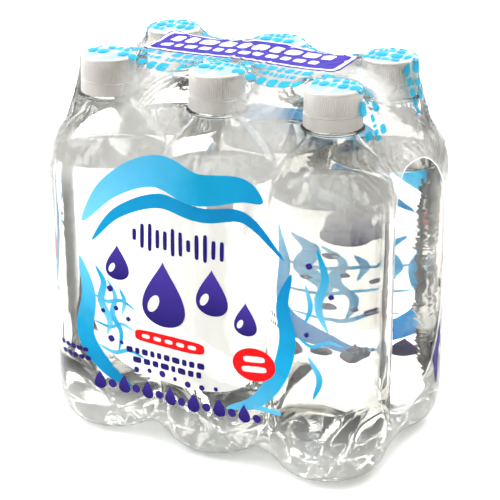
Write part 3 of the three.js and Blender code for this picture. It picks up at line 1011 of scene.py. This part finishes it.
def cutInSquares(shape, size):
    # straight cuts up and across, so that a print can follow the film
    for axis in (0, 2):
        values = [vert.co[axis] for vert in shape.verts]
        cut = min(values) + size
        while cut < max(values):
            where, way = [0, 0, 0], [0, 0, 0]
            where[axis], way[axis] = cut, 1
            bmesh.ops.bisect_plane(shape, geom=shape.verts[:] + shape.edges[:] + shape.faces[:],
                                   plane_co=where, plane_no=way)
            cut += size


def rayOnto(face, across, up):
    # the start and way of the ray that finds a print's place on the film
    if face in sideWays:
        x, y = sideWays[face]
        start = Vector((across * y - rayStart * x, -across * x - rayStart * y, up))
        return start, Vector((x, y, 0))
    over = max(abs(across) - topFan["half"], 0) / topFan["radius"]
    side = math.copysign(1, across)
    centre = Vector((across if over == 0 else side * topFan["half"], up, topFan["height"]))
    way = Vector((side * math.sin(over), 0, math.cos(over)))
    return centre + way * topFan["start"], -way


def layOn(name, flat, face, height, material, size=3.0, under=False):
    # lays a flat print on the film, and a coat of it under the white where that is asked for
    cutInSquares(flat, size)
    bmesh.ops.triangulate(flat, faces=flat.faces)
    if under:
        layOn(name + "_under", flat.copy(), face, layer["under"], material, size * coarser)
    missed, ways = [], {}
    for vert in flat.verts:
        origin, way = rayOnto(face, vert.co.x, vert.co.z)
        hit, normal, _, _ = filmTree.ray_cast(origin, way)
        if hit is None:
            missed.append(vert)
            continue
        if normal.dot(way) > 0:
            normal = -normal
        vert.co = hit + normal * height
        ways[vert] = way
    if missed:
        print("print off the film:", name, len(missed))
        bmesh.ops.delete(flat, geom=missed, context="VERTS")
    flat.normal_update()
    turned = [piece for piece in flat.faces if piece.normal.dot(ways[piece.verts[0]]) > 0]
    bmesh.ops.reverse_faces(flat, faces=turned)
    piece = finishPiece(name, flat, material)


# each ink's colours along the shade, and the shares of light that go clear and scattered
# through it
inkLooks = {
    # the white ink's second colour is a warm grey, which the label's field takes on towards its right
    # edge as painted shade
    "white": ("gravure_white_ink", ["#FFFFFC", "#F1EEE8"], 0.22, 0.4),
    "cyan": ("gravure_cyan_ink", ["#A0E6FA", "#22C2E8", "#0A9CD2"], 0.35, 0.4),
    "navy": ("gravure_navy_ink", ["#16046A", "#4A35A4"], 0.1, 0.15),
    "violet": ("gravure_violet_ink", ["#331A9E", "#220C84"], 0.1, 0.15),
    "red": ("gravure_red_ink", ["#F00008", "#B00008"], 0.1, 0.15),
    "plain": ("gravure_white_outline", ["#FFFFFF", "#F8F8F8"], 0.05, 0.3),
}
inks = {name: inkMaterial(*look) for name, look in inkLooks.items()}

# The label on the front and on the back. Where a size varies, the first of a pair is the
# least and the second is what is added at most.
label = {
    "middle": (-7, 95),
    "half": (55, 52),
    "power": 2.9,
    "shades": (0.25, 0.5),  # in the middle, and from there to the right edge: a painted shade that greys the white field towards its right
    # each wave's line, width and shades at its ends
    "waves": [([(-66, 128), (-48, 150), (-22, 162), (6, 157), (30, 160), (44, 156)], 17, (0, 0.75)),
              ([(-60, 118), (-44, 136), (-18, 147), (10, 144), (34, 146), (58, 128)], 8, (0.6, 1)),
              ([(-68, 108), (-63, 86), (-66, 62), (-54, 44), (-38, 34)], 11, (0.1, 0.9)),
              ([(62, 122), (57, 104), (60, 84), (54, 62), (40, 44), (22, 36)], 10, (0.9, 0.1))],
    "bar": ((44, 41), (12, 1.5)),
    "ripples": [([(-58, 104), (-53, 95), (-55, 84), (-50, 73), (-52, 64)], 4.6),
                ([(-51, 98), (-46, 88), (-48, 77), (-43, 67), (-45, 55)], 3.4),
                ([(-43, 93), (-40, 86), (-42, 78)], 2.6),
                ([(-62, 88), (-52, 84), (-42, 86), (-33, 82)], 2.2),
                ([(-60, 71), (-50, 69), (-42, 72), (-34, 69)], 2.0),
                ([(-58, 57), (-48, 54), (-38, 57), (-28, 54)], 2.4),
                ([(76, 138), (80, 122), (77, 106), (82, 92)], 4.2),
                ([(70, 118), (73, 106), (70, 96)], 2.6),
                ([(66, 88), (74, 84), (82, 87), (89, 84)], 2.2),
                ([(72, 78), (78, 66), (75, 54)], 3.2)],
    "rippleShades": [(0.5, 0.0), (0.1, 0.5)],  # by turns
    "drops": [(-44, 108, 8), (-15, 95, 15), (15, 102, 10.5), (35, 91, 7.5)],
    "dropTall": 1.25,
    "dropShade": 0.9,
    # a drop's glint, in shares of the drop: how far down and left, and its half width and height
    "glint": (0.42, 0.2, 0.38),
    "glintTurn": -30,
    "bubbles": {"start": -34, "up": 46.5, "spacing": 8.4, "count": 7, "size": (1.2, 1.2),
                "sway": 1.2},
    "bars": {"start": -33, "up": 126, "spacing": 4.9, "count": 12, "half": 1.2, "tall": (3.2, 4.6),
             "swing": 0.9},
    "specks": [(-49, 92, 1.8), (-45.5, 81, 1.4), (-49.5, 62, 1.9), (-43, 61, 1.2),
               (-54, 78, 1.3), (-38, 76, 1.3), (72, 128, 1.6), (83, 112, 1.3), (71, 90, 1.2)],
    "lines": {"rows": [(58, -40, 10), (52.5, -36, 8)], "wide": (2.6, 2.8), "half": 1.8,
              "space": 1.6},
    "row": {"up": 35.5, "start": -58, "end": 46, "step": 7.6, "drop": (3.9, 5.6), "dropShade": 0.6,
            "dot": 2.4, "dotDown": 1.5},
    "dashes": {"start": (-84, 52), "rows": 2, "count": 5, "step": (4.4, 5), "shift": 1.5,
               "half": (1.7, 1.3)},
    "badge": {"place": (40, 66), "half": (13, 9.5), "turn": 8, "dashes": [(3.2, 6.5), (-2.6, 7.5)],
              "dashHalf": 1.7},
    "pill": {"place": (-12, 68), "half": (22, 3.6), "start": -15, "spacing": 7.4, "count": 5,
             "dashHalf": (2.5, 1.2)},
}


def drawWaves():
    waves = newPrint()
    for line, width, shades in label["waves"]:
        addBand(waves, line, width, shades)
    addRound(waves, *label["bar"], power=6, shade=0.15)
    for i, (line, width) in enumerate(label["ripples"]):
        addBand(waves, line, width, label["rippleShades"][i % 2])
    return waves


def drawMarks():
    marks = newPrint()
    for across, up, size in label["drops"]:
        addDrop(marks, (across, up), (size, size * label["dropTall"]), label["dropShade"])
    bubbles, bars, lines, row, dashes = (
        label[key] for key in ("bubbles", "bars", "lines", "row", "dashes"))
    for i in range(bubbles["count"]):
        size = bubbles["size"][0] + bubbles["size"][1] * dice.random()
        place = (bubbles["start"] + i * bubbles["spacing"],
                 bubbles["up"] + bubbles["sway"] * math.sin(i))
        addRound(marks, place, (size, size), shade=0.2)
    for i in range(bars["count"]):
        tall = bars["tall"][0] + bars["tall"][1] * abs(math.sin(i * bars["swing"]))
        addRound(marks, (bars["start"] + i * bars["spacing"], bars["up"]), (bars["half"], tall),
                 power=6, segments=16)
    for across, up, size in label["specks"]:
        addRound(marks, (across, up), (size, size), power=3, turn=30, shade=0.3, segments=16)
    for up, across, count in lines["rows"]:
        for _ in range(count):
            width = lines["wide"][0] + lines["wide"][1] * dice.random()
            addRound(marks, (across + width / 2, up), (width / 2, lines["half"]), power=5,
                     segments=16)
            across += width + lines["space"]
    across, pointed = row["start"], True
    while across < row["end"]:  # the bottom row of small drops and dots
        if pointed:
            addDrop(marks, (across, row["up"]), row["drop"], row["dropShade"])
        else:
            addRound(marks, (across, row["up"] - row["dotDown"]), (row["dot"], row["dot"]),
                     shade=0.3)
        pointed = not pointed
        across += row["step"]
    for i in range(dashes["rows"]):
        for j in range(dashes["count"]):
            place = (dashes["start"][0] + j * dashes["step"][0] + i * dashes["shift"],
                     dashes["start"][1] - i * dashes["step"][1])
            addRound(marks, place, dashes["half"], power=4, segments=12)
    return marks


def drawGlints():
    glints = newPrint()
    off, wide, tall = label["glint"]
    for across, up, size in label["drops"]:
        addRound(glints, (across - size * off, up - size * off), (size * wide, size * tall),
                 turn=label["glintTurn"])
    return glints


def drawBadge():
    # the red shapes, and the white dashes on them
    badge, pill = label["badge"], label["pill"]
    red, dashes = newPrint(), newPrint()
    addRound(red, badge["place"], badge["half"], turn=badge["turn"], segments=48)
    addRound(red, pill["place"], pill["half"], power=5)
    for up, width in badge["dashes"]:
        addRound(dashes, (badge["place"][0], badge["place"][1] + up), (width, badge["dashHalf"]),
                 power=4, turn=badge["turn"])
    for i in range(pill["count"]):
        place = (pill["place"][0] + pill["start"] + i * pill["spacing"], pill["place"][1])
        addRound(dashes, place, pill["dashHalf"], power=3)
    return red, dashes


def printLabel(face):
    middle, half, shades = label["middle"], label["half"], label["shades"]
    field = newPrint()
    addRound(field, middle, half, label["power"], segments=96)
    key = field.verts.layers.float["shade"]
    # painted shade: the white field's tone goes greyer from its left edge to its right edge
    for vert in field.verts:
        vert[key] = shades[0] + shades[1] * (vert.co.x - middle[0]) / half[0]
    layOn("print_field_" + face, field, face, layer["white"], inks["white"], size=4.0)
    layOn("print_waves_" + face, drawWaves(), face, layer["colour"], inks["cyan"], under=True)
    layOn("print_marks_" + face, drawMarks(), face, layer["mark"], inks["navy"], under=True)
    layOn("print_glints_" + face, drawGlints(), face, layer["top"], inks["plain"])
    red, dashes = drawBadge()
    layOn("print_badge_" + face, red, face, layer["mark"], inks["red"], under=True)
    layOn("print_dashes_" + face, dashes, face, layer["top"], inks["plain"])


for face in ("front", "back"):
    printLabel(face)

# A tip of the print at each end opening
endPrint = {
    "tip": [(35.5, 66), (33.5, 56), (31.5, 45), (34, 27)],
    "width": 8,
    "shades": (0, 0.3),
    "blunt": 1.0,
    "square": 2.0,
}


def printEnds():
    for face, side in (("right", 1), ("left", -1)):
        tip = newPrint()
        line = [(side * across, up) for across, up in endPrint["tip"]]
        addBand(tip, line, endPrint["width"], endPrint["shades"], endPrint["blunt"])
        layOn("print_tip_" + face, tip, face, layer["mark"], inks["navy"], endPrint["square"])


printEnds()

# The top's print: a banner, and rows of blocks before it, behind it and past its ends
topPrint = {
    "banner": (-4, 8),
    "half": (57, 17.5),
    "corner": 9,
    "turn": 2.0,
    # the banner's coats from the film out, with their inks and how far they reach past it
    "coats": [("line", "violet", 1.6), ("edge", "plain", 0.7), ("field", "violet", -1.4)],
    "coatStep": 0.22,  # between coats, which lie over tight folds
    "coatSquare": 1.5,
    # each row's height on the banner, its blocks' half height and their widths
    "blockRows": [(5.4, 5.2, (6.5, 8.5, 10.0)), (-7.4, 3.2, (3.6, 5.2, 6.4))],
    "blockMargins": (7, 11),
    "blockSpace": 2.4,
    "bigRows": [50, 33.5, -16.5, -33],
    "smallRows": [42, 25.5, -24.5],
    "big": 3.3,  # half heights
    "small": 2.1,
    "ends": (-101, 99),
    "startRange": 9,
    "groups": (4, 5, 6, 7),  # blocks in a group
    # a block's width, the space after it and after a group, in shares of a row's half height
    "wide": (0.8, 1.3, 1.6, 1.9),
    "space": 0.45,
    "groupSpace": 1.5,
    "clear": (3, 1.5),  # of the banner
    "shade": 0.42,
    "square": 2.0,
}


def onBanner(across, up):
    # a place on the banner, from its middle
    turn = math.radians(topPrint["turn"])
    return (topPrint["banner"][0] + across * math.cos(turn) - up * math.sin(turn),
            topPrint["banner"][1] + across * math.sin(turn) + up * math.cos(turn))


def printRow(rows, up, half):
    across, last = topPrint["ends"]
    across += topPrint["startRange"] * dice.random()
    left = dice.choice(topPrint["groups"])
    centre, size, clear = topPrint["banner"], topPrint["half"], topPrint["clear"]
    while across < last:
        width = half * dice.choice(topPrint["wide"])
        clearX = abs(across + width / 2 - centre[0]) > size[0] + clear[0]
        clearY = abs(up - centre[1]) > size[1] + half + clear[1]
        if clearX or clearY:
            addRound(rows, (across + width / 2, up), (width / 2, half), power=4,
                     shade=topPrint["shade"], segments=20)
        across += width + half * topPrint["space"]
        left -= 1
        if left == 0:
            left = dice.choice(topPrint["groups"])
            across += half * topPrint["groupSpace"]


def printTop():
    centre, half, turn = topPrint["banner"], topPrint["half"], topPrint["turn"]
    height = layer["white"]
    for name, ink, more in topPrint["coats"]:
        field = newPrint()
        addRound(field, centre, (half[0] + more, half[1] + more), topPrint["corner"], turn,
                 segments=96)
        layOn("print_banner_" + name, field, "top", height, inks[ink], topPrint["coatSquare"])
        height += topPrint["coatStep"]
    blocks = newPrint()
    left, right = topPrint["blockMargins"]
    for row, tall, widths in topPrint["blockRows"]:
        across = left - half[0]
        while across < half[0] - right:
            width = dice.choice(widths)
            addRound(blocks, onBanner(across + width / 2, row), (width / 2, tall), 4, turn)
            across += width + topPrint["blockSpace"]
    layOn("print_banner_blocks", blocks, "top", height, inks["plain"], topPrint["coatSquare"])
    rows = newPrint()
    for up in topPrint["bigRows"]:
        printRow(rows, up, topPrint["big"])
    for up in topPrint["smallRows"]:
        printRow(rows, up, topPrint["small"])
    layOn("print_rows_top", rows, "top", layer["mark"], inks["cyan"], topPrint["square"])


printTop()
print("film printed")

# Stage: a pale floor, a bright room and soft lamps. Its sizes are metres.
room = {
    "floor": "#FFFFFF",
    "floorHalf": 4.0,
    "bright": 1.5,
    "dim": 0.36,
    "dimSide": (0.8, -0.6, 0.05),
    "dimFrom": 0.0,
    "dimTo": 0.8,
    "flagSide": (0.87, 0.49, 0.0),
    "flagFrom": 0.72,
    "flagTo": 0.97,
    "flagDepth": 0.7,
    "brightShade": "#FFFFFF",
    "dimShade": "#E2D8C4",
    "lampAim": (0, 0, 0.1),
    # each lamp's place, its width and height, and its power in watts
    "lamps": {"key": ((-0.75, -0.4, 0.85), (0.7, 0.7), 7),
              "back": ((0.2, 1.2, 0.9), (1.2, 1.2), 16),
              "top": ((0.0, 0.1, 1.3), (1.2, 1.2), 14),
              "strip": ((1.2, -0.75, 0.9), (0.14, 1.3), 1.5)},
}


def buildFloor():
    floor = bmesh.new()
    bmesh.ops.create_grid(floor, x_segments=1, y_segments=1, size=room["floorHalf"])
    mesh = bpy.data.meshes.new("floor")
    floor.to_mesh(mesh)
    floor.free()
    ground = putInScene("floor", mesh)
    material, tree = newMaterial("floor_paper")
    paper = addNode(tree, "ShaderNodeBsdfDiffuse", {"Color": toLinear(room["floor"])})
    addNode(tree, "ShaderNodeOutputMaterial", {"Surface": paper.outputs["BSDF"]})
    mesh.materials.append(material)


def buildRoom():
    world = bpy.data.worlds.new("room")
    world.use_nodes = True
    bpy.context.scene.world = world
    tree = world.node_tree
    tree.nodes.clear()
    # the room is bright all round, but for a dim and warmer side to the right of the front
    where = addNode(tree, "ShaderNodeTexCoord").outputs["Generated"]
    dimSide = Vector(room["dimSide"]).normalized()
    facing = addNode(tree, "ShaderNodeVectorMath", {0: where, 1: dimSide}, operation="DOT_PRODUCT")
    dimness = addNode(tree, "ShaderNodeMapRange", {
        "Value": facing.outputs["Value"], "From Min": room["dimFrom"], "From Max": room["dimTo"]},
        interpolation_type="SMOOTHSTEP").outputs["Result"]
    bright = addNode(tree, "ShaderNodeMapRange", {
        "Value": dimness, "To Min": room["bright"], "To Max": room["dim"]}).outputs["Result"]
    # grey flags on the left and right draw the glass's edges
    sideways = addNode(tree, "ShaderNodeVectorMath", {0: where, 1: Vector(room["flagSide"])},
                       operation="DOT_PRODUCT").outputs["Value"]
    aside = addNode(tree, "ShaderNodeMath", {0: sideways}, operation="ABSOLUTE").outputs["Value"]
    flag = addNode(tree, "ShaderNodeMapRange", {
        "Value": aside, "From Min": room["flagFrom"], "From Max": room["flagTo"],
        "To Min": 1.0, "To Max": room["flagDepth"]}, interpolation_type="SMOOTHSTEP").outputs["Result"]
    strength = addNode(tree, "ShaderNodeMath", {0: bright, 1: flag},
                       operation="MULTIPLY").outputs["Value"]
    shade = addNode(tree, "ShaderNodeValToRGB", {"Fac": dimness}, stops=[
        (0.0, room["brightShade"]), (1.0, room["dimShade"])]).outputs["Color"]
    background = addNode(tree, "ShaderNodeBackground", {"Color": shade, "Strength": strength})
    addNode(tree, "ShaderNodeOutputWorld", {"Surface": background.outputs["Background"]})


def hangLamps():
    for name, (place, size, power) in room["lamps"].items():
        data = bpy.data.lights.new(name, "AREA")
        data.shape = "RECTANGLE"
        data.size, data.size_y = size
        data.energy = power
        lamp = putInScene(name, data)
        lamp.location = place
        aim = Vector(room["lampAim"]) - Vector(place)
        lamp.rotation_euler = aim.to_track_quat("-Z", "Y").to_euler()


buildFloor()
buildRoom()
hangLamps()
print("stage set")
scene = bpy.context.scene
scene.view_settings.view_transform = "Standard"
scene.cycles.max_bounces = 24
scene.cycles.diffuse_bounces = 3
scene.cycles.transmission_bounces = 24
scene.cycles.transparent_max_bounces = 20
scene.cycles.glossy_bounces = 3
